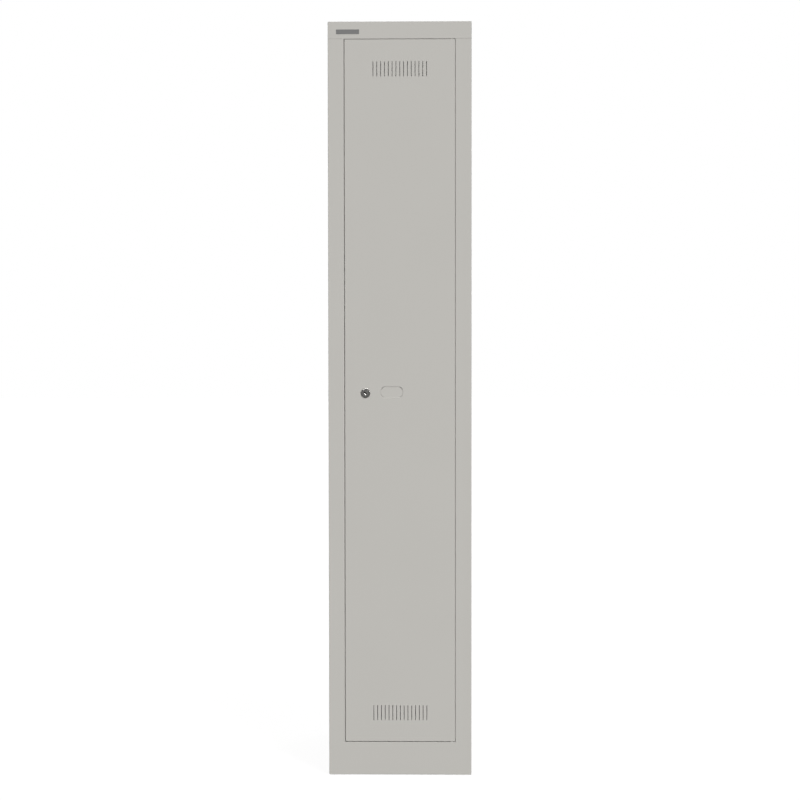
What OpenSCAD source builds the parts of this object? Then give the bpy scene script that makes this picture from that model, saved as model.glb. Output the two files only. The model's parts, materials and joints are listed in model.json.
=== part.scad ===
// Single-door steel clothing locker, standing on the floor.
// Origin at floor level under the middle of the whole outline, +Z up, the door faces -Y.

/* [Carcass] */
// Width over the side panels
body_w = 342; // [300:1:420]
// Height from the floor to the top
body_h = 1802; // [1600:1:2000]
// Depth from the front face to the back edge
body_d = 457; // [400:1:550]
// Thickness of the sheet steel
sheet = 1; // [0.8:0.1:1.4]
// Inside radius of every fold
bend_r = 0.4; // [0.3:0.1:1]
// Radius of the top and bottom corners, seen from the front
corner_r = 2.5; // [1.5:0.1:2.8]
// Face width of each front upright
upright_w = 38.3; // [30:0.1:46]
// Face height of the top cap
cap_h = 41.1; // [32:0.1:60]
// Open seam between the top cap and the sides
cap_seam = 0.1; // [0.1:0.1:1]
// Height of the sill above the floor
sill_h = 80.2; // [60:0.1:120]
// Width of the flange that the door closes against
stop_w = 14; // [10:1:18]
// Width of the rear flanges and of the tray rims
rim_w = 14; // [10:1:20]
// Width of the bottom flange on each side panel
foot_flange_w = 32; // [26:1:45]
// Height of the lap strip that joins a side to the top cap
lap_h = 24; // [16:1:32]
// Height of the rail along the bottom of the back
rear_rail_h = 30; // [20:1:45]

/* [Door] */
// Thickness of the folded door
door_t = 18; // [16:0.5:22]
// Gap between the door and the upright on the lock side
gap_lock = 1.4; // [1.4:0.1:4]
// Gap between the door and the upright on the hinge side
gap_hinge = 0.85; // [0.85:0.05:3]
// Gap above the door
gap_top = 0.8; // [0.8:0.1:3]
// Gap below the door
gap_sill = 1.2; // [1.2:0.1:4]
// Gap between the back of the door and the stop flange
gap_stop = 2; // [1.8:0.1:4]
// Width of the lip folded in round the back of the door
lip_w = 12; // [8:1:16]
// Number of slots in each vent
slot_count = 15; // [5:1:19]
// Distance from one slot to the next
slot_pitch = 9.1; // [7:0.1:11]
// Width of a slot
slot_w = 1.4; // [1.2:0.1:4]
// Length of a slot
slot_l = 36; // [20:1:50]
// Height of the lower vent's middle above the bottom of the door
vent_low = 69.5; // [50:0.5:120]
// Distance of the upper vent's middle below the top of the door
vent_high = 70; // [50:0.5:120]
// Width of the label recess
label_w = 54; // [40:1:70]
// Height of the label recess
label_h = 29; // [23:1:36]
// Corner radius of the label recess
label_r = 11; // [4:1:11]
// Depth of the label recess
label_depth = 1.5; // [0.5:0.1:1.5]
// Width of the sloping wall round the label recess
label_slope = 1.6; // [1:0.1:3]
// Width of the relief slit at each corner of the recess's floor
relief_w = 0.6; // [0.4:0.1:1]
// Angle that each relief slit spans round its corner
relief_turn = 60; // [40:5:80]
// Distance from the lock to the middle of the label recess
label_from_lock = 63.2; // [50:0.1:80]
// Height of the label recess's middle above the lock
label_rise = 2.3; // [-10:0.1:10]
// Depth of the stiffener behind the door skin
stiffener_d = 14; // [8:1:15]
// Width of the stiffener's crown
stiffener_w = 36; // [24:1:50]
// Width of the stiffener's weld flanges
stiffener_flange = 11; // [8:1:14]
// Distance from the label recess to the stiffener
stiffener_gap = 6; // [4:1:12]
// Distance from the stiffener's ends to the vents
stiffener_end_gap = 18; // [10:1:40]

/* [Hinge] */
// Distance from the door's edge to the hinge axis
hinge_in = 7.4; // [7:0.1:8]
// Distance from the front face to the hinge axis
hinge_back = 4.1; // [4.1:0.1:4.8]
// Radius of the hinge pins
pin_r = 2; // [1.6:0.1:2]
// Running clearance between pin and bush
pin_clearance = 0.06; // [0.02:0.01:0.09]
// Wall of the nylon hinge bushes
bush_wall = 0.7; // [0.6:0.1:0.9]
// Length of a hinge bush inside the door
bush_l = 10; // [6:1:16]
// Radius of the flange on a hinge bush
bush_flange_r = 3.6; // [3.2:0.1:4]
// Thickness of the flange on a hinge bush
bush_flange_t = 0.5; // [0.4:0.1:0.6]
// Length of a hinge plate
hinge_plate_l = 40; // [30:1:60]
// Thickness of a hinge plate
hinge_plate_t = 2.5; // [1.5:0.5:4]
// Radius of the collar on a hinge pin
collar_r = 2.8; // [2.5:0.1:2.9]
// Thickness of the collar on a hinge pin
collar_t = 3; // [2:0.5:5]

/* [Lock] */
// Distance from the door's edge to the lock
lock_in = 48.8; // [40:0.1:60]
// Height of the lock above the floor
lock_z = 919; // [800:1:1100]
// Radius of the lock's bezel
bezel_r = 11.8; // [10.5:0.1:14]
// Thickness of the lock's bezel
bezel_t = 2; // [1:0.1:3]
// Radius of the lock's barrel
barrel_r = 9.5; // [8.5:0.1:10]
// Width of the barrel across its flats
barrel_flats = 16.4; // [15:0.1:17]
// Radius of the turning plug
plug_r = 6.6; // [5.5:0.1:7]
// Radius of the plug's head, seen inside the bezel
plug_head_r = 8; // [7.4:0.1:8.4]
// Depth of the plug's head
plug_head_t = 1.8; // [1.2:0.1:2]
// How far the plug stands out of the bezel
plug_proud = 0.4; // [0.2:0.1:1]
// Running clearance round the plug
plug_clearance = 0.1; // [0.05:0.01:0.2]
// Width of the keyway
keyway_w = 2.6; // [1.5:0.1:3]
// Length of the keyway
keyway_l = 9; // [7:0.5:11]
// Depth of the keyway
keyway_d = 14; // [6:1:18]
// Width of the bevel along each side of the keyway
keyway_bevel_w = 0.8; // [0.3:0.1:1]
// Depth of the bevels along the keyway
keyway_bevel_d = 0.5; // [0.2:0.1:0.8]
// Slant of the keyway from upright, with the lock open
keyway_slant = 45; // [0:1:60]
// Reach of the cam from the lock's axis
cam_reach = 46; // [42:1:50]
// Width of the cam
cam_w = 16; // [12:1:20]
// Thickness of the cam
cam_t = 2.5; // [1.5:0.5:4]
// Side of the square that drives the cam
drive_square = 7; // [5:0.5:8]
// Clearance between the cam and the strike plate
cam_clearance = 0.8; // [0.5:0.1:2]
// Thickness of the strike plate
strike_t = 1.5; // [1:0.5:2.5]
// Height of the strike plate
strike_h = 64; // [40:1:90]
// Width of the lock nut across its flats
nut_flats = 24; // [23:0.5:27]
// Thickness of the lock nut
nut_t = 4; // [3:0.5:6]

/* [Inside] */
// Height of the hat compartment, from the shelf to the top cap
hat_h = 263; // [150:1:400]
// Depth of the shelf's folded rim
shelf_rim = 18; // [14:1:25]
// Gap between the shelf and the door stop
shelf_setback = 16; // [12:1:60]
// Leg of the shelf brackets
bracket_leg = 16; // [12:1:24]
// Distance from the shelf's top down to the middle of the coat rail
rail_drop = 76; // [60:1:110]
// Height of the oval coat rail
rail_h = 30; // [24:1:34]
// Width of the oval coat rail
rail_w = 15; // [12:1:18]
// Wall of the coat rail
rail_wall = 1.2; // [1:0.1:2]
// Depth of the cup that holds an end of the rail
socket_d = 10; // [6:1:16]
// Wall of the cups, and of the hook's collars
cup_wall = 2; // [1.5:0.1:3]
// Clearance of the rail in its cups
cup_clearance = 0.3; // [0.2:0.1:0.5]
// Distance from one coat hook to the next
hook_pitch = 86; // [80:1:90]
// Length of a hook's collar along the rail
hook_collar_l = 16; // [12:1:24]
// Clearance of a hook's collar on the rail
hook_clearance = 0.3; // [0.3:0.1:0.6]
// Radius of the hook's rod
hook_rod_r = 2.6; // [2:0.1:3.5]
// Radius of the hook's bend, at the middle of the rod
hook_bend_r = 12; // [10:0.5:16]
// Length of the hook's straight stem
hook_stem_l = 20; // [14:1:30]
// Length of the hook's upturned tip
hook_tip_l = 8; // [4:1:12]
// Radius of the ball on the hook's tip
hook_ball_r = 4; // [3:0.5:5.5]

/* [Fixings] */
// Radius of the bolt holes in the sides and back
bolt_hole_r = 3.5; // [2.5:0.1:5]
// Distance of the side bolt holes from the front and back edges
nest_inset = 70; // [60:1:110]
// Height of the lower side bolt holes
nest_low = 260; // [200:1:400]
// Distance of the upper side bolt holes below the top
nest_drop = 162; // [120:1:200]
// Distance between the two wall holes
wall_hole_span = 220; // [150:1:260]
// Distance of the wall holes below the top
wall_hole_drop = 70; // [60:1:150]
// Radius of a floor glide
glide_r = 9; // [7:0.5:12]
// Thickness of a floor glide
glide_t = 1; // [1:0.5:5]
// Radius of a glide's stem
glide_stem_r = 3; // [2:0.5:4]
// Distance of the glides from the front and back edges
glide_inset = 56; // [50:1:100]
// Radius of a rubber door buffer
buffer_r = 4; // [3:0.5:5]
// Free height left between a buffer and the door
buffer_gap = 0.3; // [0.2:0.1:0.6]
// Distance of the buffers from the ends of the door
buffer_inset = 150; // [80:1:300]
// Width of the blank badge
badge_w = 55; // [40:1:70]
// Height of the blank badge
badge_h = 11; // [8:0.5:16]
// Thickness of the blank badge
badge_t = 0.8; // [0.5:0.1:1.5]
// Distance of the badge's middle from the side of the cap
badge_in = 47.3; // [40:0.1:60]
// Distance of the badge's middle below the top
badge_drop = 24.3; // [16:0.1:28]

/* [Hidden] */
$fn = 48;
cut = 1;           // how far a cutter runs past what it cuts
fold_r = sheet + bend_r;
front_proud = bezel_t + plug_proud;
y_front = (front_proud - body_d) / 2;
y_back = y_front + body_d;
x_left = -body_w / 2;
x_right = body_w / 2;
base_z = glide_t;
cap_z = body_h - cap_h;
side_top = cap_z - cap_seam;
inner_w = body_w - 2 * sheet;
back_face = y_back - 2 * sheet;          // front of the back panel
stop_d = door_t + gap_stop;              // front face of the stop flange, behind the front
stop_back = stop_d + sheet;
inside_front = y_front + stop_back;
floor_z = sill_h + stop_w;
flange_z = base_z + sheet;               // top of the side panels' bottom flanges

open_left = x_left + upright_w;
open_right = x_right - upright_w;
door_left = open_left + gap_lock;
door_right = open_right - gap_hinge;
door_bottom = sill_h + gap_sill;
door_top = cap_z - gap_top;
door_mid = (door_left + door_right) / 2;

hinge_x = door_right - hinge_in;
hinge_y = y_front + hinge_back;
bush_bore_r = pin_r + pin_clearance;
bush_r = bush_bore_r + bush_wall;
seat_play = 0.05;                        // radial room for a bush or a stem in its hole
washer_t = gap_sill - bush_flange_t;     // the washer carries the door's lower bush

lock_x = door_left + lock_in;
vent_low_z = door_bottom + vent_low;
vent_high_z = door_top - vent_high;
label_x = lock_x + label_from_lock;
label_z = lock_z + label_rise;
stiffener_x = label_x + label_w / 2 + stiffener_gap;
stiffener_low = vent_low_z + slot_l / 2 + stiffener_end_gap;
stiffener_high = vent_high_z - slot_l / 2 - stiffener_end_gap;
strike_d = stop_back + strike_t;
cam_d = strike_d + cam_clearance;        // front of the cam, behind the front face
cam_washer_t = 0.8;
cam_washer_r = 5.5;
cam_screw_head_r = 4.4;
cam_screw_head_t = 2.6;
cam_recess_l = 5.2;                      // cross recess in the head of the cam screw
cam_recess_w = 1;
cam_screw_r = 2;
cam_square_play = 0.15;
nut_play = 0.06;
star_washer_t = 0.8;

shelf_z = cap_z - hat_h;
rail_z = shelf_z - rail_drop;
rail_y = y_front + body_d / 2;
rail_end = inner_w / 2 - sheet - cup_clearance;
bracket_z = shelf_z - shelf_rim;
rivet_r = 1.6;
rivet_head_r = 3.2;
rivet_head_t = 1.2;
rivet_margin = 1.5;                      // bare plate left round a rivet's head
rivet_span = rail_h / 2 + cup_clearance + cup_wall + rivet_head_r + rivet_margin;
socket_plate_h = 2 * (rivet_span + rivet_head_r + rivet_margin);
hook_below = rail_h / 2 + hook_clearance + cup_wall;
glide_x = x_right - sheet - foot_flange_w / 2;
glide_stem_l = 6;
glide_edge = 0.6;
buffer_t = gap_stop - buffer_gap;
buffer_stem_r = 1.5;
buffer_stem_l = 3;
buffer_x = (door_left + open_left + stop_w) / 2;
shelf_play = 0.5;

paint = [0.74, 0.73, 0.71];

// What is cut away to round a corner at the origin that opens up and to the right
module corner_waste(r) {
    difference() {
        translate([-cut, -cut]) square(r + cut);
        translate([r, r]) circle(r);
    }
}

// Rectangle from its low corner, with each corner rounded by its own radius, anticlockwise from the low one
module rounded_rect(size, radii) {
    corners = [[0, 0], [size.x, 0], [size.x, size.y], [0, size.y]];
    difference() {
        square(size);
        for (i = [0:3])
            if (radii[i] > 0)
                translate(corners[i]) rotate(90 * i) corner_waste(radii[i]);
    }
}

// Upright stadium, h high over its round ends and w wide
module stadium(w, h) {
    square([w, h - w], center = true);
    for (side = [-1, 1])
        translate([0, side * (h - w) / 2]) circle(w / 2);
}

// Sheet folded at right angles along a line of points, given by the middle of the sheet
module folded_sheet(length, line) {
    mid_r = fold_r - sheet / 2;
    last = len(line) - 1;
    for (i = [0:last - 1]) {
        along = (line[i + 1] - line[i]) / norm(line[i + 1] - line[i]);
        across = [-along.y, along.x] * sheet / 2;
        from = line[i] + (i > 0 ? along * mid_r : [0, 0]);
        to = line[i + 1] - (i < last - 1 ? along * mid_r : [0, 0]);
        linear_extrude(length) polygon([from + across, to + across, to - across, from - across]);
    }
    for (i = [1:1:last - 1]) {
        come = (line[i] - line[i - 1]) / norm(line[i] - line[i - 1]);
        go = (line[i + 1] - line[i]) / norm(line[i + 1] - line[i]);
        centre = line[i] - come * mid_r + go * mid_r;
        reach = fold_r + cut;
        linear_extrude(length)
            intersection() {
                translate(centre)
                    difference() {
                        circle(fold_r);
                        circle(fold_r - sheet);
                    }
                polygon([centre, centre + come * reach, centre + (come - go) * reach, centre - go * reach]);
            }
    }
}

// Turns a part drawn in Y and Z, and standing length high, so that it lies along X
module lay_x(length) {
    translate([-length / 2, 0, 0]) rotate([90, 0, 90]) children();
}

// Turns a part drawn in X and Z, and standing length high, so that it lies along Y from y
module lay_y(y, length) {
    translate([0, y + length, 0]) rotate([90, 0, 0]) children();
}

// Prism along X over an outline drawn in Y and Z
module along_x(length) {
    lay_x(length) linear_extrude(length) children();
}

// Prism along Y, from y to y + length, over an outline drawn in X and Z
module along_y(y, length) {
    lay_y(y, length) linear_extrude(length) children();
}

// Box between two corners
module box(low, high) {
    translate(low) cube(high - low);
}

// Row of bolt holes through one side panel
module nest_holes(x) {
    for (y = [y_front + nest_inset, y_back - nest_inset], z = [nest_low, body_h - nest_drop])
        translate([x, y, z])
            rotate([0, 90, 0]) cylinder(r = bolt_hole_r, h = 4 * sheet, center = true);
}

// Side wall with the front upright, its stop flange and the rear flange, drawn for the left
module side_sheet() {
    half = sheet / 2;
    wall_x = x_left + half;
    return_x = open_left - half;
    translate([0, 0, base_z])
        folded_sheet(side_top - base_z, [
            [x_left + rim_w, y_back - half],
            [wall_x, y_back - half],
            [wall_x, y_front + half],
            [return_x, y_front + half],
            [return_x, y_front + stop_d + half],
            [open_left + stop_w, y_front + stop_d + half]
        ]);
}

module side_panel() {
    difference() {
        union() {
            side_sheet();
            // square corner of the upright below the sill, where the plinth is welded on
            box([open_left - fold_r, y_front, base_z], [open_left, y_front + sheet, sill_h]);
            // bottom flange, with the inside of its fold
            box([x_left + sheet / 2, inside_front + cut, base_z],
                [x_left + sheet + foot_flange_w, back_face, flange_z]);
            translate([x_left, 0, base_z])
                along_y(inside_front + cut, back_face - inside_front - cut)
                    difference() {
                        square(corner_r);
                        translate([corner_r, corner_r]) circle(corner_r - sheet);
                    }
            // lap strip inside the top cap
            box([x_left + sheet, inside_front + cut, side_top - lap_h / 2],
                [x_left + 2 * sheet, back_face - cut, cap_z + lap_h / 2]);
            box([x_left + sheet / 2, inside_front + cut, side_top - lap_h / 2],
                [x_left + 1.5 * sheet, back_face - cut, side_top]);
        }
        // the stop flange starts above the sill
        box([open_left, y_front + sheet, base_z - cut],
            [open_left + stop_w + cut, inside_front + cut, sill_h]);
        translate([x_left, 0, base_z]) along_y(y_front - cut, body_d + 2 * cut) corner_waste(corner_r);
        nest_holes(x_left + sheet / 2);
        mirror([1, 0, 0]) rivet_holes();
        for (y = glide_rows())
            translate([-glide_x, y, base_z - cut])
                cylinder(r = glide_stem_r + seat_play, h = sheet + 2 * cut);
    }
}

function rivet_heights() = [rail_z + cup_clearance - rivet_span, rail_z + cup_clearance + rivet_span];
function glide_rows() = [y_front + glide_inset, y_back - glide_inset];
function buffer_heights() = [door_bottom + buffer_inset, lock_z + buffer_inset, door_top - buffer_inset];

module left_side_panel() {
    color(paint)
        difference() {
            side_panel();
            for (z = buffer_heights())
                translate([buffer_x, y_front + stop_d - cut, z])
                    rotate([-90, 0, 0]) cylinder(r = buffer_stem_r, h = sheet + 2 * cut);
        }
}

module right_side_panel() {
    color(paint) mirror([1, 0, 0]) side_panel();
}

module back_panel() {
    color(paint)
        difference() {
            box([x_left + corner_r, back_face, base_z], [x_right - corner_r, y_back - sheet, body_h - sheet]);
            for (side = [-1, 1])
                translate([side * wall_hole_span / 2, back_face - cut, body_h - wall_hole_drop])
                    rotate([-90, 0, 0]) cylinder(r = bolt_hole_r, h = sheet + 2 * cut);
        }
}

// Outside of a folded shell: width along X, depth along Y, height along Z, every fold rounded
module shell_block(low, high, plan, side, front) {
    size = high - low;
    intersection() {
        translate(low) linear_extrude(size.z) rounded_rect([size.x, size.y], plan);
        translate([low.x + size.x / 2, low.y, low.z]) along_x(size.x) rounded_rect([size.y, size.z], side);
        translate([low.x, 0, low.z]) along_y(low.y, size.y) rounded_rect([size.x, size.z], front);
    }
}

module top_cap() {
    r = fold_r;
    inner_r = corner_r - sheet;
    stop_end = open_right - stop_w - 2 * cup_clearance;
    color(paint) {
        difference() {
            shell_block([x_left, y_front, cap_z], [x_right, y_back, body_h],
                [r, r, r, r], [r, 0, r, r], [0, 0, corner_r, corner_r]);
            shell_block([x_left + sheet, y_front + sheet, cap_z + sheet],
                [x_right - sheet, y_back - sheet, body_h - sheet],
                [0, 0, 0, 0], [0, 0, 0, 0], [0, 0, inner_r, inner_r]);
            box([x_left + sheet, inside_front, cap_z - cut],
                [x_right - sheet, y_back - sheet, cap_z + 2 * sheet]);
            translate([hinge_x, hinge_y, cap_z - cut]) cylinder(r = bush_bore_r, h = sheet + 2 * cut);
        }
        box([-stop_end, y_front + stop_d, cap_z - stop_w], [stop_end, inside_front, cap_z + sheet]);
    }
}

module plinth_panel() {
    half = sheet / 2;
    open_w = open_right - open_left;
    stop_half = open_right - stop_w - 2 * cup_clearance;
    color(paint)
        difference() {
            lay_x(open_w)
                folded_sheet(open_w, [
                    [y_front + stop_d, base_z + half],
                    [y_front + half, base_z + half],
                    [y_front + half, sill_h - half],
                    [y_front + stop_d + half, sill_h - half],
                    [y_front + stop_d + half, floor_z]
                ]);
            for (side = [-1, 1])
                translate([side * (stop_half + stop_w / 2 + cut), 0, 0])
                    box([-stop_w / 2 - cut, y_front + stop_d - cut, sill_h],
                        [stop_w / 2 + cut, inside_front + cut, floor_z + cut]);
            translate([hinge_x, hinge_y, sill_h - sheet - cut])
                cylinder(r = bush_bore_r, h = sheet + 2 * cut);
        }
}

// Upside-down tray: flat top with a rim folded down all round
module tray(low, high) {
    r = fold_r;
    difference() {
        shell_block(low, high, [r, r, r, r], [0, 0, r, r], [0, 0, r, r]);
        box(low + [sheet, sheet, -cut], high - [sheet, sheet, sheet]);
    }
}

module floor_pan() {
    color(paint)
        tray([x_left + sheet, inside_front, floor_z - rim_w], [x_right - sheet, back_face, floor_z]);
}

module rear_base_rail() {
    half = sheet / 2;
    length = body_w - 2 * corner_r;
    color(paint)
        lay_x(length)
            folded_sheet(length, [
                [back_face - rear_rail_h, flange_z + half],
                [back_face - half, flange_z + half],
                [back_face - half, flange_z + rear_rail_h]
            ]);
}

module hat_shelf() {
    color(paint)
        tray([x_left + sheet + shelf_play, inside_front + shelf_setback, shelf_z - shelf_rim],
            [x_right - sheet - shelf_play, back_face, shelf_z]);
}

module shelf_brackets() {
    half = sheet / 2;
    front = inside_front + shelf_setback;
    color(paint)
        for (side = [0, 1])
            mirror([side, 0, 0])
                lay_y(front, back_face - front)
                    folded_sheet(back_face - front, [
                        [x_left + sheet + half, bracket_z - bracket_leg],
                        [x_left + sheet + half, bracket_z - half],
                        [x_left + sheet + bracket_leg, bracket_z - half]
                    ]);
}

module coat_rail() {
    color([0.75, 0.76, 0.78])
        translate([0, rail_y, rail_z])
            along_x(2 * rail_end)
                difference() {
                    stadium(rail_w, rail_h);
                    stadium(rail_w - 2 * rail_wall, rail_h - 2 * rail_wall);
                }
}

// Cup on each side wall that holds an end of the coat rail
module rail_sockets() {
    room = 2 * cup_clearance;
    wall = 2 * cup_wall;
    color([0.25, 0.25, 0.26])
        for (side = [0, 1])
            mirror([side, 0, 0])
                difference() {
                    translate([inner_w / 2, rail_y, rail_z + cup_clearance]) {
                        translate([-sheet / 2, 0, 0])
                            along_x(sheet) stadium(rail_w + 2 * wall, socket_plate_h);
                        translate([-socket_d / 2, 0, 0])
                            along_x(socket_d)
                                difference() {
                                    stadium(rail_w + room + wall, rail_h + room + wall);
                                    stadium(rail_w + room, rail_h + room);
                                }
                    }
                    rivet_holes();
                }
}

// Drills the two rivet holes of a rail socket, on the right, through socket and side wall
module rivet_holes() {
    for (z = rivet_heights())
        translate([inner_w / 2 - sheet - cut, rail_y, z])
            rotate([0, 90, 0]) cylinder(r = rivet_r, h = 2 * (sheet + cut));
}

// Pop rivets of the rail sockets, flush on the outside
module socket_rivets() {
    grip = 2 * sheet;
    color("silver")
        for (side = [0, 1])
            mirror([side, 0, 0])
                for (z = rivet_heights())
                    translate([x_right, rail_y, z])
                        rotate([0, -90, 0])
                            rotate_extrude()
                                polygon([
                                    [0, 0], [rivet_r, 0], [rivet_r, grip], [rivet_head_r, grip],
                                    [rivet_head_r / 2, grip + rivet_head_t], [0, grip + rivet_head_t]
                                ]);
}

// Plastic hook that slides along the rail on an oval collar
module coat_hook(x) {
    room = 2 * hook_clearance;
    wall = 2 * cup_wall;
    bend_z = rail_z - hook_below - hook_stem_l;
    tip_y = rail_y - 2 * hook_bend_r;
    color([0.16, 0.16, 0.17])
        translate([x, 0, 0]) {
            translate([0, rail_y, rail_z])
                along_x(hook_collar_l)
                    difference() {
                        stadium(rail_w + room + wall, rail_h + room + wall);
                        stadium(rail_w + room, rail_h + room);
                    }
            translate([0, rail_y, bend_z])
                cylinder(r = hook_rod_r, h = hook_stem_l + cup_wall / 2);
            translate([0, rail_y - hook_bend_r, bend_z])
                rotate([-90, 0, 90])
                    rotate_extrude(angle = 180)
                        translate([hook_bend_r, 0]) circle(hook_rod_r);
            translate([0, tip_y, bend_z]) cylinder(r = hook_rod_r, h = hook_tip_l);
            translate([0, tip_y, bend_z + hook_tip_l]) sphere(hook_ball_r);
        }
}

module left_coat_hook() { coat_hook(-hook_pitch); }
module middle_coat_hook() { coat_hook(0); }
module right_coat_hook() { coat_hook(hook_pitch); }

// Plate welded behind the fold to carry a hinge pin
module hinge_plate(z) {
    plate_in = hinge_in + gap_hinge - sheet;
    color(paint)
        difference() {
            box([hinge_x + plate_in - hinge_plate_l, y_front + fold_r, z],
                [hinge_x + plate_in, y_front + stop_d, z + hinge_plate_t]);
            translate([hinge_x, hinge_y, z - cut]) cylinder(r = bush_bore_r, h = hinge_plate_t + 2 * cut);
        }
}

module upper_hinge_plate() { hinge_plate(cap_z + sheet); }
module lower_hinge_plate() { hinge_plate(sill_h - sheet - hinge_plate_t); }

// Steel pin standing up from z, with its collar at the bottom
module hinge_pin(length) {
    color("silver") {
        cylinder(r = pin_r, h = length);
        cylinder(r = collar_r, h = collar_t);
    }
}

module upper_hinge_pin() {
    top = cap_z + sheet + hinge_plate_t + collar_t;
    translate([hinge_x, hinge_y, top])
        mirror([0, 0, 1]) hinge_pin(top - door_top + bush_l);
}

module lower_hinge_pin() {
    bottom = sill_h - sheet - hinge_plate_t - collar_t;
    translate([hinge_x, hinge_y, bottom]) hinge_pin(door_bottom + bush_l - bottom);
}

module hinge_washer() {
    color("silver")
        translate([hinge_x, hinge_y, sill_h])
            difference() {
                cylinder(r = bush_flange_r, h = washer_t);
                translate([0, 0, -cut]) cylinder(r = bush_bore_r, h = washer_t + 2 * cut);
            }
}

// Nylon bush standing up from its flange
module hinge_bush() {
    color("ivory")
        difference() {
            union() {
                translate([0, 0, -bush_flange_t]) cylinder(r = bush_flange_r, h = bush_flange_t);
                translate([0, 0, -bush_flange_t]) cylinder(r = bush_r, h = bush_flange_t + bush_l);
            }
            translate([0, 0, -bush_flange_t - cut])
                cylinder(r = bush_bore_r, h = bush_l + bush_flange_t + 2 * cut);
        }
}

module lower_hinge_bush() {
    translate([hinge_x, hinge_y, door_bottom]) hinge_bush();
}

module upper_hinge_bush() {
    translate([hinge_x, hinge_y, door_top]) mirror([0, 0, 1]) hinge_bush();
}

module strike_plate() {
    color(paint)
        box([open_left, y_front + stop_back, lock_z - strike_h / 2],
            [open_left + stop_w, y_front + strike_d, lock_z + strike_h / 2]);
}

module door_buffers() {
    color([0.1, 0.1, 0.1])
        for (z = buffer_heights())
            translate([buffer_x, y_front + stop_d, z])
                rotate([90, 0, 0])
                    rotate_extrude()
                        polygon([
                            [0, -buffer_stem_l], [buffer_stem_r, -buffer_stem_l], [buffer_stem_r, 0],
                            [buffer_r, 0], [buffer_r, buffer_t / 2], [buffer_r / 2, buffer_t], [0, buffer_t]
                        ]);
}

module floor_glides() {
    color([0.12, 0.12, 0.12])
        for (x = [-glide_x, glide_x], y = glide_rows())
            translate([x, y, 0])
                rotate_extrude()
                    polygon([
                        [0, 0], [glide_r - glide_edge, 0], [glide_r, glide_edge], [glide_r, glide_t],
                        [glide_stem_r, glide_t], [glide_stem_r, glide_t + glide_stem_l],
                        [0, glide_t + glide_stem_l]
                    ]);
}

module blank_badge() {
    color([0.25, 0.25, 0.25])
        translate([x_left + badge_in - badge_w / 2, 0, body_h - badge_drop - badge_h / 2])
            along_y(y_front - badge_t, badge_t)
                rounded_rect([badge_w, badge_h], [1, 1, 1, 1] * badge_t);
}

// One slot of a vent, as a cutter through the door skin
module slot_cutter() {
    along_y(y_front - cut, sheet + 2 * cut) stadium(slot_w, slot_l);
}

module vent_cutters(z) {
    for (i = [0:slot_count - 1])
        translate([door_mid + (i - (slot_count - 1) / 2) * slot_pitch, 0, z]) slot_cutter();
}

// Pressed form of the label recess, from depth start to the floor of the recess. Its outline at the
// depth shift is the recess's own outline, grown by grow.
module label_form(start, shift, grow) {
    slope = label_slope / label_depth;
    depth = shift + label_depth - start;
    wide = grow + slope * (shift - start);
    narrow = grow - label_slope;
    half_w = label_w / 2;
    half_h = label_h / 2;
    translate([label_x, y_front + start, label_z])
        rotate([-90, 0, 0]) {
            lay_x(2 * (half_w - label_r))
                linear_extrude(2 * (half_w - label_r))
                    polygon([
                        [-half_h - wide, 0], [half_h + wide, 0],
                        [half_h + narrow, depth], [-half_h - narrow, depth]
                    ]);
            lay_y(label_r - half_h, 2 * (half_h - label_r))
                linear_extrude(2 * (half_h - label_r))
                    polygon([
                        [-half_w - wide, 0], [half_w + wide, 0],
                        [half_w + narrow, depth], [-half_w - narrow, depth]
                    ]);
            for (x = [label_r - half_w, half_w - label_r], y = [label_r - half_h, half_h - label_r])
                translate([x, y, 0]) cylinder(r1 = label_r + wide, r2 = label_r + narrow, h = depth);
        }
}

// Cutters for the curved slits at the corners of the recess's floor, at the foot of its wall
module relief_cutters() {
    outer = label_r - label_slope - relief_w / 4;
    through = label_depth + sheet + 2 * cut;
    reach = 2 * label_r;
    spread = reach * tan(relief_turn / 2);
    translate([label_x, y_front - cut, label_z])
        rotate([-90, 0, 0])
            for (x = [-1, 1], y = [-1, 1])
                translate([x * (label_w / 2 - label_r), y * (label_h / 2 - label_r), 0])
                    rotate(atan2(y, x))
                        intersection() {
                            difference() {
                                cylinder(r = outer, h = through);
                                translate([0, 0, -cut]) cylinder(r = outer - relief_w, h = through + 2 * cut);
                            }
                            linear_extrude(through) polygon([[0, 0], [reach, -spread], [reach, spread]]);
                        }
}

module door_skin() {
    r = fold_r;
    color(paint)
        difference() {
            union() {
                difference() {
                    shell_block([door_left, y_front, door_bottom], [door_right, y_front + door_t, door_top],
                        [r, r, r, r], [r, r, r, r], [r, r, r, r] / 2);
                    box([door_left + sheet, y_front + sheet, door_bottom + sheet],
                        [door_right - sheet, y_front + door_t - sheet, door_top - sheet]);
                    box([door_left + lip_w, y_front + sheet, door_bottom + lip_w],
                        [door_right - lip_w, y_front + door_t + cut, door_top - lip_w]);
                }
                label_form(sheet / 2, sheet, sheet * tan(atan(label_depth / label_slope) / 2));
            }
            label_form(-cut, 0, 0);
            relief_cutters();
            vent_cutters(vent_low_z);
            vent_cutters(vent_high_z);
            translate([lock_x, y_front - cut, lock_z])
                rotate([-90, 0, 0])
                    intersection() {
                        cylinder(r = barrel_r + nut_play, h = sheet + 2 * cut);
                        translate([-barrel_flats / 2 - nut_play, -barrel_r - cut, 0])
                            cube([barrel_flats + 2 * nut_play, 2 * (barrel_r + cut), sheet + 2 * cut]);
                    }
            for (z = [door_bottom - cut, door_top - sheet - cut])
                translate([hinge_x, hinge_y, z]) cylinder(r = bush_r + seat_play, h = sheet + 2 * cut);
        }
}

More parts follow.
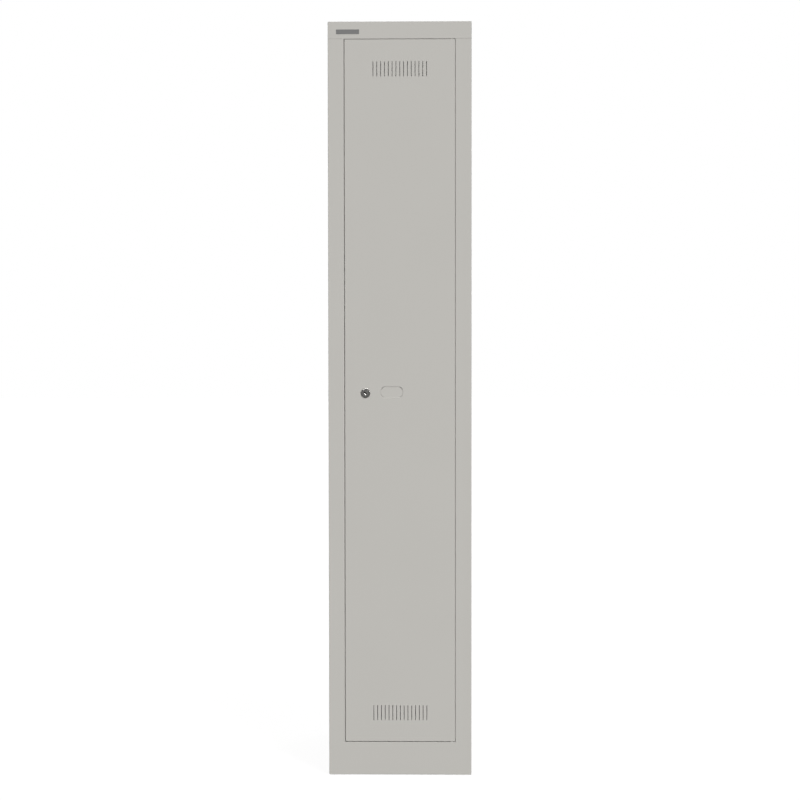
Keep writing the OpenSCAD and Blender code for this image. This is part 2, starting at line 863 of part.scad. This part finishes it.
// Full-height top-hat channel spot-welded behind the skin
module door_stiffener() {
    half = sheet / 2;
    low_y = y_front + sheet + half;
    high_y = y_front + sheet + stiffener_d - half;
    crown_left = stiffener_x + stiffener_flange;
    crown_right = crown_left + stiffener_w;
    color(paint)
        translate([0, 0, stiffener_low])
            folded_sheet(stiffener_high - stiffener_low, [
                [stiffener_x, low_y],
                [crown_left + half, low_y],
                [crown_left + half, high_y],
                [crown_right - half, high_y],
                [crown_right - half, low_y],
                [crown_right + stiffener_flange, low_y]
            ]);
}

// Puts lock parts on the lock's axis, with +Z of the part running into the locker
module at_lock(depth) {
    translate([lock_x, y_front + depth, lock_z]) rotate([-90, 0, 0]) children();
}

module lock_housing() {
    head_room = plug_head_t - plug_proud;
    color("silver")
        difference() {
            union() {
                at_lock(0)
                    mirror([0, 0, 1])
                        rotate_extrude() {
                            square([bezel_r - bezel_t, bezel_t]);
                            intersection() {
                                translate([bezel_r - bezel_t, 0]) circle(bezel_t);
                                square([bezel_r, bezel_t]);
                            }
                        }
                at_lock(-bezel_t / 2)
                    intersection() {
                        cylinder(r = barrel_r, h = cam_d + bezel_t / 2);
                        translate([-barrel_flats / 2, -barrel_r, 0])
                            cube([barrel_flats, 2 * barrel_r, cam_d + bezel_t / 2]);
                    }
            }
            at_lock(-bezel_t - cut) {
                cylinder(r = plug_r + plug_clearance, h = cam_d + bezel_t + 2 * cut);
                cylinder(r = plug_head_r + plug_clearance, h = head_room + cut);
            }
        }
}

module lock_star_washer() {
    color("silver")
        at_lock(sheet)
            difference() {
                cylinder(r = bezel_r, h = star_washer_t);
                translate([0, 0, -cut]) cylinder(r = barrel_r + nut_play, h = star_washer_t + 2 * cut);
            }
}

module lock_nut() {
    color("silver")
        at_lock(sheet + star_washer_t)
            difference() {
                rotate(30) cylinder(d = nut_flats / cos(30), h = nut_t, $fn = 6);
                translate([0, 0, -cut]) cylinder(r = barrel_r + nut_play, h = nut_t + 2 * cut);
            }
}

// Key slot with a bevelled mouth, as a cutter that runs in from the plug's face
module keyway() {
    half_w = keyway_w / 2;
    mouth = half_w + keyway_bevel_w * (1 + cut / keyway_bevel_d);
    translate([-half_w, -keyway_l / 2, -cut]) cube([keyway_w, keyway_l, keyway_d + cut]);
    lay_y(-keyway_l / 2, keyway_l)
        linear_extrude(keyway_l)
            polygon([[-mouth, -cut], [mouth, -cut], [half_w, keyway_bevel_d], [-half_w, keyway_bevel_d]]);
}

module lock_plug() {
    front = -bezel_t - plug_proud;
    neck = plug_head_t - 2 * plug_clearance;
    edge = plug_proud;
    color("gainsboro")
        difference() {
            union() {
                at_lock(front)
                    rotate_extrude()
                        polygon([
                            [0, 0], [plug_head_r - edge, 0], [plug_head_r, edge],
                            [plug_head_r, neck], [0, neck]
                        ]);
                at_lock(front) cylinder(r = plug_r, h = cam_d - front);
                at_lock(cam_d - cut)
                    translate([-drive_square / 2, -drive_square / 2, 0])
                        cube([drive_square, drive_square, cam_t + cut]);
            }
            at_lock(front) rotate(-keyway_slant) keyway();
            at_lock(cam_d) cylinder(r = cam_screw_r, h = cam_t + cut);
        }
}

// Flat cam, hanging straight down with the lock open
module lock_cam() {
    hole = drive_square + 2 * cam_square_play;
    color("silver")
        at_lock(cam_d)
            linear_extrude(cam_t)
                difference() {
                    translate([0, (cam_reach - cam_w / 2) / 2]) stadium(cam_w, cam_reach + cam_w / 2);
                    square(hole, center = true);
                }
}

module cam_washer() {
    color("silver")
        at_lock(cam_d + cam_t)
            difference() {
                cylinder(r = cam_washer_r, h = cam_washer_t);
                translate([0, 0, -cut]) cylinder(r = cam_screw_r + nut_play, h = cam_washer_t + 2 * cut);
            }
}

module cam_screw() {
    color("silver")
        difference() {
            union() {
                at_lock(cam_d)
                    cylinder(r = cam_screw_r - nut_play, h = cam_t + cam_washer_t + cam_screw_head_t / 3);
                at_lock(cam_d + cam_t + cam_washer_t) cylinder(r = cam_screw_head_r, h = cam_screw_head_t);
            }
            at_lock(cam_d + cam_t + cam_washer_t + cam_screw_head_t / 2)
                for (turn = [0, 90])
                    rotate(turn)
                        translate([-cam_recess_l / 2, -cam_recess_w / 2, 0])
                            cube([cam_recess_l, cam_recess_w, cam_screw_head_t]);
        }
}

left_side_panel();
right_side_panel();
back_panel();
top_cap();
plinth_panel();
floor_pan();
rear_base_rail();
hat_shelf();
shelf_brackets();
coat_rail();
rail_sockets();
socket_rivets();
left_coat_hook();
middle_coat_hook();
right_coat_hook();
upper_hinge_plate();
lower_hinge_plate();
upper_hinge_pin();
lower_hinge_pin();
hinge_washer();
strike_plate();
door_buffers();
floor_glides();
blank_badge();
door_skin();
door_stiffener();
upper_hinge_bush();
lower_hinge_bush();
lock_housing();
lock_star_washer();
lock_nut();
lock_plug();
lock_cam();
cam_washer();
cam_screw();
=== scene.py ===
import json
import math

import bpy
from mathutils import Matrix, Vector


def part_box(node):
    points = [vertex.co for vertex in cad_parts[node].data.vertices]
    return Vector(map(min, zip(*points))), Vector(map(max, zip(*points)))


# A single-door clothing locker in folded, powder-coated steel, shown as in a shop's catalogue
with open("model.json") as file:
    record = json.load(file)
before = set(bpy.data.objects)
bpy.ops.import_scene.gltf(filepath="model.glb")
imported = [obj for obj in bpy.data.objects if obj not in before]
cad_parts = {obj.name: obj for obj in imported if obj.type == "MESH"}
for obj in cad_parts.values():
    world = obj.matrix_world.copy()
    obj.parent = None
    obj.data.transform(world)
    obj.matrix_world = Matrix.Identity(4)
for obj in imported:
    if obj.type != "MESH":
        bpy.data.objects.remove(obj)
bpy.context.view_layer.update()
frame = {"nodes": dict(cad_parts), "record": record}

mm = 0.001
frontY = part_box("top_cap")[0].y  # the carcass's front face
fine, cloudy = 2.0, 3.0  # how much detail a noise has


class Value:  # a node's output; arithmetic on it adds Math nodes
    def __init__(self, shader, socket):
        self.shader = shader
        self.socket = socket

    def maths(self, how, first, second):
        return self.shader.node("ShaderNodeMath", {"operation": how}, {0: first, 1: second})

    def __add__(self, other):
        return self.maths("ADD", self, other)

    def __radd__(self, other):
        return self.maths("ADD", other, self)

    def __sub__(self, other):
        return self.maths("SUBTRACT", self, other)

    def __rsub__(self, other):
        return self.maths("SUBTRACT", other, self)

    def __mul__(self, other):
        return self.maths("MULTIPLY", self, other)

    def __rmul__(self, other):
        return self.maths("MULTIPLY", other, self)


class Shader:  # the node tree of one material, or of the world
    def __init__(self, name, world=False):
        self.material = bpy.data.worlds.new(name) if world else bpy.data.materials.new(name)
        self.material.use_nodes = True
        self.tree = self.material.node_tree
        self.surface = self.tree.nodes["Background" if world else "Principled BSDF"]

    def node(self, kind, settings=None, inputs=None, output=0):
        made = self.tree.nodes.new(kind)
        for key, value in (settings or {}).items():
            setattr(made, key, value)
        for key, value in (inputs or {}).items():
            self.feed(made.inputs[key], value)
        return Value(self, made.outputs[output])

    def feed(self, socket, value):
        if isinstance(value, Value):
            self.tree.links.new(value.socket, socket)
        else:
            socket.default_value = value

    def place(self):
        return self.node("ShaderNodeTexCoord", output="Object")

    def axis(self, vector, letter):
        return self.node("ShaderNodeSeparateXYZ", {}, {0: vector}, output="XYZ".index(letter))

    def between(self, value, low, high, atLow=0.0, atHigh=1.0):
        # runs from atLow to atHigh as the value goes from low to high
        return self.node("ShaderNodeMapRange", {}, {0: value, 1: low, 2: high, 3: atLow, 4: atHigh})

    def noise(self, size, detail=fine, stretch=(1, 1, 1)):
        # size is the width of one blotch, in metres; a small stretch draws it out along that axis
        mapped = self.node("ShaderNodeMapping", {}, {"Vector": self.place(), "Scale": stretch})
        inputs = {"Vector": mapped, "Scale": 1 / size, "Detail": detail}
        return self.node("ShaderNodeTexNoise", {}, inputs)

    def mix(self, factor, first, second):
        return self.node("ShaderNodeMix", {}, {0: factor, 2: first, 3: second})

    def mixColours(self, factor, first, second):
        settings = {"data_type": "RGBA"}
        return self.node("ShaderNodeMix", settings, {0: factor, 6: first, 7: second}, output=2)

    def bump(self, heightValue, depth, under=None):
        inputs = {"Strength": 1.0, "Distance": depth, "Height": heightValue}
        if under is not None:
            inputs["Normal"] = under
        return self.node("ShaderNodeBump", {}, inputs)

    def finish(self, **inputs):
        for key, value in inputs.items():
            self.feed(self.surface.inputs[key.replace("_", " ")], value)
        return self.material


def linear(red, green, blue):
    # screen colour from 0 to 255, to the light value that gives it
    def one(level):
        share = level / 255
        return share / 12.92 if share <= 0.04045 else ((share + 0.055) / 1.055) ** 2.4
    return (one(red), one(green), one(blue), 1)


def swing(noise, reach):
    # a noise runs from 0 to 1; this makes it go both ways from nought
    return (noise - 0.5) * reach


# Powder coat on the folded steel
coat = {
    "light": (190, 188, 183),  # as a screen shows it, from 0 to 255
    "dark": (186, 184, 179),
    "patchSize": 210 * mm,
    "patchShare": 0.6,  # of the change in colour
    "patchRoughens": 0.06,
    "grainSize": 0.5 * mm,
    "grainShare": 0.4,
    "grainRoughens": 0.14,
    "grainDepth": 0.006 * mm,
    "peelSize": 2.6 * mm,
    "peelDepth": 0.012 * mm,
    "roughness": 0.46,
    "specular": 0.4,
}


def powderCoat():
    s = Shader("powder_coat_light_grey")
    patches = s.noise(coat["patchSize"], cloudy)
    grain = s.noise(coat["grainSize"])
    peel = s.noise(coat["peelSize"])
    tone = patches * coat["patchShare"] + grain * coat["grainShare"]
    colour = s.mixColours(tone, linear(*coat["dark"]), linear(*coat["light"]))
    rough = coat["roughness"] + swing(grain, coat["grainRoughens"])
    rough = rough + swing(patches, coat["patchRoughens"])
    normal = s.bump(peel, coat["peelDepth"])
    normal = s.bump(grain, coat["grainDepth"], under=normal)
    specular = coat["specular"]
    return s.finish(Base_Color=colour, Roughness=rough, Normal=normal, Specular_IOR_Level=specular)


# Zinc-plated fixings
zinc = {
    "bright": (0.62, 0.63, 0.63, 1),
    "dull": (0.42, 0.43, 0.44, 1),
    "spangleSize": 1.6 * mm,
    "streakSize": 0.4 * mm,
    "streakRuns": (1, 1, 0.15),  # upwards
    "streakRoughens": 0.2,
    "streakDepth": 0.01 * mm,
    "roughness": 0.33,
}


def zincPlate():
    s = Shader("zinc_plate")
    spangle = s.noise(zinc["spangleSize"], cloudy)
    streak = s.noise(zinc["streakSize"], stretch=zinc["streakRuns"])
    colour = s.mixColours(spangle, zinc["dull"], zinc["bright"])
    rough = zinc["roughness"] + swing(streak, zinc["streakRoughens"])
    normal = s.bump(streak, zinc["streakDepth"])
    return s.finish(Base_Color=colour, Metallic=1.0, Roughness=rough, Normal=normal)


# Chrome on the lock. Its plug is worn duller. Painted shade, a dark matte colour, fills the keyway
# and reaches the plug's face at the keyway's upper end, where it dims the glint on the upper half
# of the keyway's mouth
chrome = {
    "bright": (0.46, 0.455, 0.44, 1),
    "dull": (0.27, 0.265, 0.255, 1),
    "cloudSize": 2.2 * mm,
    "scratchSize": 0.35 * mm,
    "scratchRuns": (1, 1, 0.2),  # upwards
    "scratchRoughens": 0.1,
    "scratchDepth": 0.004 * mm,
    "roughness": 0.18,
    "worn": 0.34,  # the plug's roughness
    # painted shade: a dark, matte colour in the keyway and on the upper half of its mouth
    "paintedShade": (0.012, 0.011, 0.01, 1),
    "paintedShadeRoughens": 0.6,
    # two heights from the plug's middle, and how near the front the painted shade comes at each
    "paintedShadeRises": (-1.5 * mm, 1.5 * mm),
    "paintedShadeMouth": (frontY - 1.9 * mm, frontY - 2.38 * mm),
    "paintedShadeBlend": 0.15 * mm,
    "paintedShadeEnds": (frontY + 14 * mm, frontY + 16 * mm),
}
plugZ = (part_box("lock_plug")[0].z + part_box("lock_plug")[1].z) / 2


def lockChrome(name, roughness, withPaintedShade=False):
    s = Shader(name)
    cloud = s.noise(chrome["cloudSize"], cloudy)
    scratch = s.noise(chrome["scratchSize"], cloudy, chrome["scratchRuns"])
    colour = s.mixColours(cloud, chrome["dull"], chrome["bright"])
    rough = roughness + swing(scratch, chrome["scratchRoughens"])
    metal = 1.0
    # painted shade: dark, rougher and not metal in the keyway and over the upper half of its mouth,
    # dimming the glint there
    if withPaintedShade:
        depth = s.axis(s.place(), "Y")
        low, high = [plugZ + step for step in chrome["paintedShadeRises"]]
        start = s.between(s.axis(s.place(), "Z"), low, high, *chrome["paintedShadeMouth"])
        paintedShade = s.between(depth, start, start + chrome["paintedShadeBlend"])
        paintedShade = paintedShade - s.between(depth, *chrome["paintedShadeEnds"])
        colour = s.mixColours(paintedShade, colour, chrome["paintedShade"])
        rough = rough + paintedShade * chrome["paintedShadeRoughens"]
        metal = 1.0 - paintedShade
    normal = s.bump(scratch, chrome["scratchDepth"])
    return s.finish(Base_Color=colour, Metallic=metal, Roughness=rough, Normal=normal)


# Bright tube of the coat rail
tube = {
    "bright": (0.78, 0.79, 0.8, 1),
    "dull": (0.6, 0.61, 0.62, 1),
    "cloudSize": 9 * mm,
    "drawnSize": 0.6 * mm,
    "drawnRuns": (0.03, 1, 1),  # along the rail
    "drawnRoughens": 0.12,
    "drawnDepth": 0.008 * mm,
    "roughness": 0.16,
}


def platedTube():
    s = Shader("plated_tube")
    cloud = s.noise(tube["cloudSize"], cloudy)
    drawn = s.noise(tube["drawnSize"], stretch=tube["drawnRuns"])
    colour = s.mixColours(cloud, tube["dull"], tube["bright"])
    rough = tube["roughness"] + swing(drawn, tube["drawnRoughens"])
    normal = s.bump(drawn, tube["drawnDepth"])
    return s.finish(Base_Color=colour, Metallic=1.0, Roughness=rough, Normal=normal)


# Moulded plastics and rubber, each under its slot's name
plastics = {
    "black_plastic": {
        "name": "moulded_black",
        "light": (0.035, 0.035, 0.037, 1),
        "dark": (0.02, 0.02, 0.022, 1),
        "roughness": 0.42,
        "grainSize": 0.7 * mm,
        "grainDepth": 0.02 * mm,
    },
    "nylon": {
        "name": "natural_nylon",
        "light": (0.8, 0.79, 0.74, 1),
        "dark": (0.7, 0.69, 0.63, 1),
        "roughness": 0.45,
        "grainSize": 0.6 * mm,
        "grainDepth": 0.01 * mm,
    },
    "rubber": {
        "name": "buffer_rubber",
        "light": (0.03, 0.03, 0.03, 1),
        "dark": (0.016, 0.016, 0.016, 1),
        "roughness": 0.75,
        "grainSize": 0.4 * mm,
        "grainDepth": 0.02 * mm,
    },
    "badge_plastic": {
        "name": "badge_plate",
        "light": (0.2, 0.2, 0.198, 1),
        "dark": (0.17, 0.17, 0.168, 1),
        "roughness": 0.38,
        "grainSize": 0.5 * mm,
        "grainDepth": 0.01 * mm,
    },
}
moulding = {"cloudSize": 6 * mm, "cloudShare": 0.5, "grainShare": 0.5, "grainRoughens": 0.16}


def moulded(name, light, dark, roughness, grainSize, grainDepth):
    s = Shader(name)
    cloud = s.noise(moulding["cloudSize"], cloudy)
    grain = s.noise(grainSize)
    tone = cloud * moulding["cloudShare"] + grain * moulding["grainShare"]
    colour = s.mixColours(tone, dark, light)
    rough = roughness + swing(grain, moulding["grainRoughens"])
    normal = s.bump(grain, grainDepth)
    return s.finish(Base_Color=colour, Roughness=rough, Normal=normal)


materials = {
    "paint": powderCoat(),
    "zinc_steel": zincPlate(),
    "lock_chrome": lockChrome("lock_chrome", chrome["roughness"]),
    "rail_steel": platedTube(),
}
for slotName, recipe in plastics.items():
    materials[slotName] = moulded(**recipe)
print("materials made:", len(materials))

# Every node gets its finish, and a small round on its edges
edges = {
    "weld": 0.01 * mm,
    "planar": math.radians(0.5),  # triangles that lie this flat become one face
    "width": 0.22 * mm,
    "segments": 2,
    "angle": math.radians(33),  # edges that turn less than this stay as they are
    "close": 0.002 * mm,
}


def softenEdges(piece):
    weld = piece.modifiers.new("weld", "WELD")
    weld.merge_threshold = edges["weld"]
    planar = piece.modifiers.new("planar", "DECIMATE")
    planar.decimate_type = "DISSOLVE"
    planar.angle_limit = edges["planar"]
    bevel = piece.modifiers.new("edge", "BEVEL")
    bevel.width = edges["width"]
    bevel.segments = edges["segments"]
    bevel.limit_method = "ANGLE"
    bevel.angle_limit = edges["angle"]
    bevel.use_clamp_overlap = True
    close = piece.modifiers.new("close", "WELD")  # takes out the bevel's empty faces
    close.merge_threshold = edges["close"]
    flat = piece.modifiers.new("flat", "WEIGHTED_NORMAL")  # large faces stay flat up to their edges
    flat.keep_sharp = True


ownMaterial = {"lock_plug": lockChrome("lock_plug_chrome", chrome["worn"], withPaintedShade=True)}
slotOf = {part["node"]: part["material_slot"] for part in frame["record"]["subparts"]}
for name, node in frame["nodes"].items():
    node.data.materials.clear()
    node.data.materials.append(ownMaterial.get(name, materials[slotOf[name]]))
    softenEdges(node)
print("nodes finished:", len(slotOf))

# Floor, light and camera
floorLook = {
    "size": 60.0,
    "light": (0.125, 0.125, 0.125, 1),  # little, so that hardly a shadow shows on it
    "dark": (0.115, 0.115, 0.115, 1),
    "patchSize": 0.9,
    "roughness": 0.9,
    "glow": 0.9,  # for the camera: with the lamps' light on it the floor is just white
    "bounce": 0.12,  # an even light from below for everything else
    "mirrored": 0.28,  # what shiny pieces mirror of it
}


def floorMaterial():
    s = Shader("studio_floor")
    patches = s.noise(floorLook["patchSize"], cloudy)
    colour = s.mixColours(patches, floorLook["dark"], floorLook["light"])
    s.finish(Base_Color=colour, Roughness=floorLook["roughness"])
    s.finish(Emission_Color=(1, 1, 1, 1), Emission_Strength=floorLook["glow"])
    glossy = s.node("ShaderNodeLightPath", output="Is Glossy Ray")
    below = s.mix(glossy, floorLook["bounce"], floorLook["mirrored"])
    bounce = s.node("ShaderNodeEmission", {}, {"Strength": below})
    seen = s.node("ShaderNodeLightPath")
    white = Value(s, s.surface.outputs[0])
    mixed = s.node("ShaderNodeMixShader", {}, {0: seen, 1: bounce, 2: white})
    s.tree.links.new(mixed.socket, s.tree.nodes["Material Output"].inputs[0])
    return s.material


def makeFloor():
    half = floorLook["size"] / 2
    corners = [(-half, -half, 0), (half, -half, 0), (half, half, 0), (-half, half, 0)]
    mesh = bpy.data.meshes.new("studio_floor")
    mesh.from_pydata(corners, [], [(0, 1, 2, 3)])
    floor = bpy.data.objects.new("studio_floor", mesh)
    mesh.materials.append(floorMaterial())
    bpy.context.scene.collection.objects.link(floor)


lights = {
    "ahead": (0.0, 0.15),  # the sky on the viewer's side: how far round, and its strength
    "behind": (0.75, 0.7),  # the same behind the locker, for its sides and back
    "mirroredLow": (0.05, 0.34),  # what shiny pieces mirror: how high, and its strength
    "mirroredHigh": (0.8, 0.5),
    "backdrop": 1.0,  # what the camera sees behind the locker
    # behind the camera, so that it reaches into the gaps
    "front": {"watts": 1020, "size": 0.25, "far": 12.0, "height": 0.92},
    "key": {"tilt": 52, "turn": 32, "angle": 10, "strength": 0.93},
    # from behind, on the sides
    "rims": {"tilt": 12, "turns": (137, 223), "angle": 20, "strength": 1.25},
    # only shiny pieces see these: around and polar are angles about the way to the viewer
    "glints": {"around": (-23, 17, 46), "strengths": (1.7, 1.4, 1.1), "polar": 64, "angle": 9},
}


def makeWorld():
    s = Shader("studio", world=True)
    way = s.node("ShaderNodeTexCoord")
    (aheadAt, ahead), (behindAt, behind) = lights["ahead"], lights["behind"]
    (lowAt, low), (highAt, high) = lights["mirroredLow"], lights["mirroredHigh"]
    light = s.between(s.axis(way, "Y"), aheadAt, behindAt, ahead, behind)
    mirrored = s.between(s.axis(way, "Z"), lowAt, highAt, low, high)
    light = s.mix(s.node("ShaderNodeLightPath", output="Is Glossy Ray"), light, mirrored)
    light = s.mix(s.node("ShaderNodeLightPath", output="Is Camera Ray"), light, lights["backdrop"])
    bpy.context.scene.world = s.finish(Color=(1, 1, 1, 1), Strength=light)


def towards(tilt, turn):
    # tilt is above the horizon and turn is to the viewer's right, both in degrees
    tilt, turn = math.radians(tilt), math.radians(turn)
    flat = math.cos(tilt)
    return Vector((math.sin(turn) * flat, -math.cos(turn) * flat, math.sin(tilt)))


def placeLamp(name, lamp, spot, target, glossy=False, diffuse=True):
    holder = bpy.data.objects.new(name, lamp)
    holder.location = spot
    holder.rotation_mode = "QUATERNION"
    holder.rotation_quaternion = (spot - target).to_track_quat("Z", "Y")
    holder.visible_glossy = glossy
    holder.visible_diffuse = diffuse
    bpy.context.scene.collection.objects.link(holder)


def farLamp(name, strength, angle):
    lamp = bpy.data.lights.new(name, "SUN")
    lamp.energy = strength
    lamp.angle = math.radians(angle)
    return lamp


def makeLights():
    key = lights["key"]
    lamp = farLamp("key_lamp", key["strength"], key["angle"])
    placeLamp(lamp.name, lamp, towards(key["tilt"], key["turn"]), Vector())
    rims = lights["rims"]
    for number, turn in enumerate(rims["turns"]):
        lamp = farLamp("rim_lamp_%d" % number, rims["strength"], rims["angle"])
        placeLamp(lamp.name, lamp, towards(rims["tilt"], turn), Vector())
    front, camera = lights["front"], bpy.context.scene.camera
    bpy.context.view_layer.update()
    behind = camera.matrix_world.to_quaternion() @ Vector((0, 0, 1))
    ahead = camera.location - behind * view["distance"]
    spot = ahead + behind * front["far"]
    spot.z = front["height"]
    lamp = bpy.data.lights.new("front_lamp", "AREA")
    lamp.shape = "DISK"
    lamp.size = front["size"]
    lamp.energy = front["watts"]
    placeLamp("front_lamp", lamp, spot, ahead)
    glints = lights["glints"]
    polar = math.radians(glints["polar"])
    out = math.sin(polar)
    for number, (around, strength) in enumerate(zip(glints["around"], glints["strengths"])):
        turn = math.radians(around)
        way = Vector((math.sin(turn) * out, -math.cos(polar), math.cos(turn) * out))
        lamp = farLamp("glint_lamp_%d" % number, strength, glints["angle"])
        placeLamp(lamp.name, lamp, way, Vector(), glossy=True, diffuse=False)


# The photograph was taken from a little right of the middle and above it, looking slightly down
view = {
    "distance": 4.0,  # from the front face
    "right": 61.9 * mm,
    "height": 1027.4 * mm,
    "down": 1.783,  # how the camera is turned, in degrees
    "left": 0.883,
    "roll": 0.057,
    "lens": 75.365,  # millimetres, as for the sensor
    "sensor": 36,
}


def makeCamera():
    lens = bpy.data.cameras.new("camera")
    lens.sensor_width = view["sensor"]
    lens.lens = view["lens"]
    camera = bpy.data.objects.new("camera", lens)
    camera.location = (view["right"], frontY - view["distance"], view["height"])
    turns = (90 - view["down"], view["roll"], view["left"])
    camera.rotation_euler = [math.radians(turn) for turn in turns]
    bpy.context.scene.collection.objects.link(camera)
    bpy.context.scene.camera = camera


makeFloor()
makeWorld()
makeCamera()
makeLights()
bpy.context.scene.view_settings.view_transform = "Standard"
print("stage set")
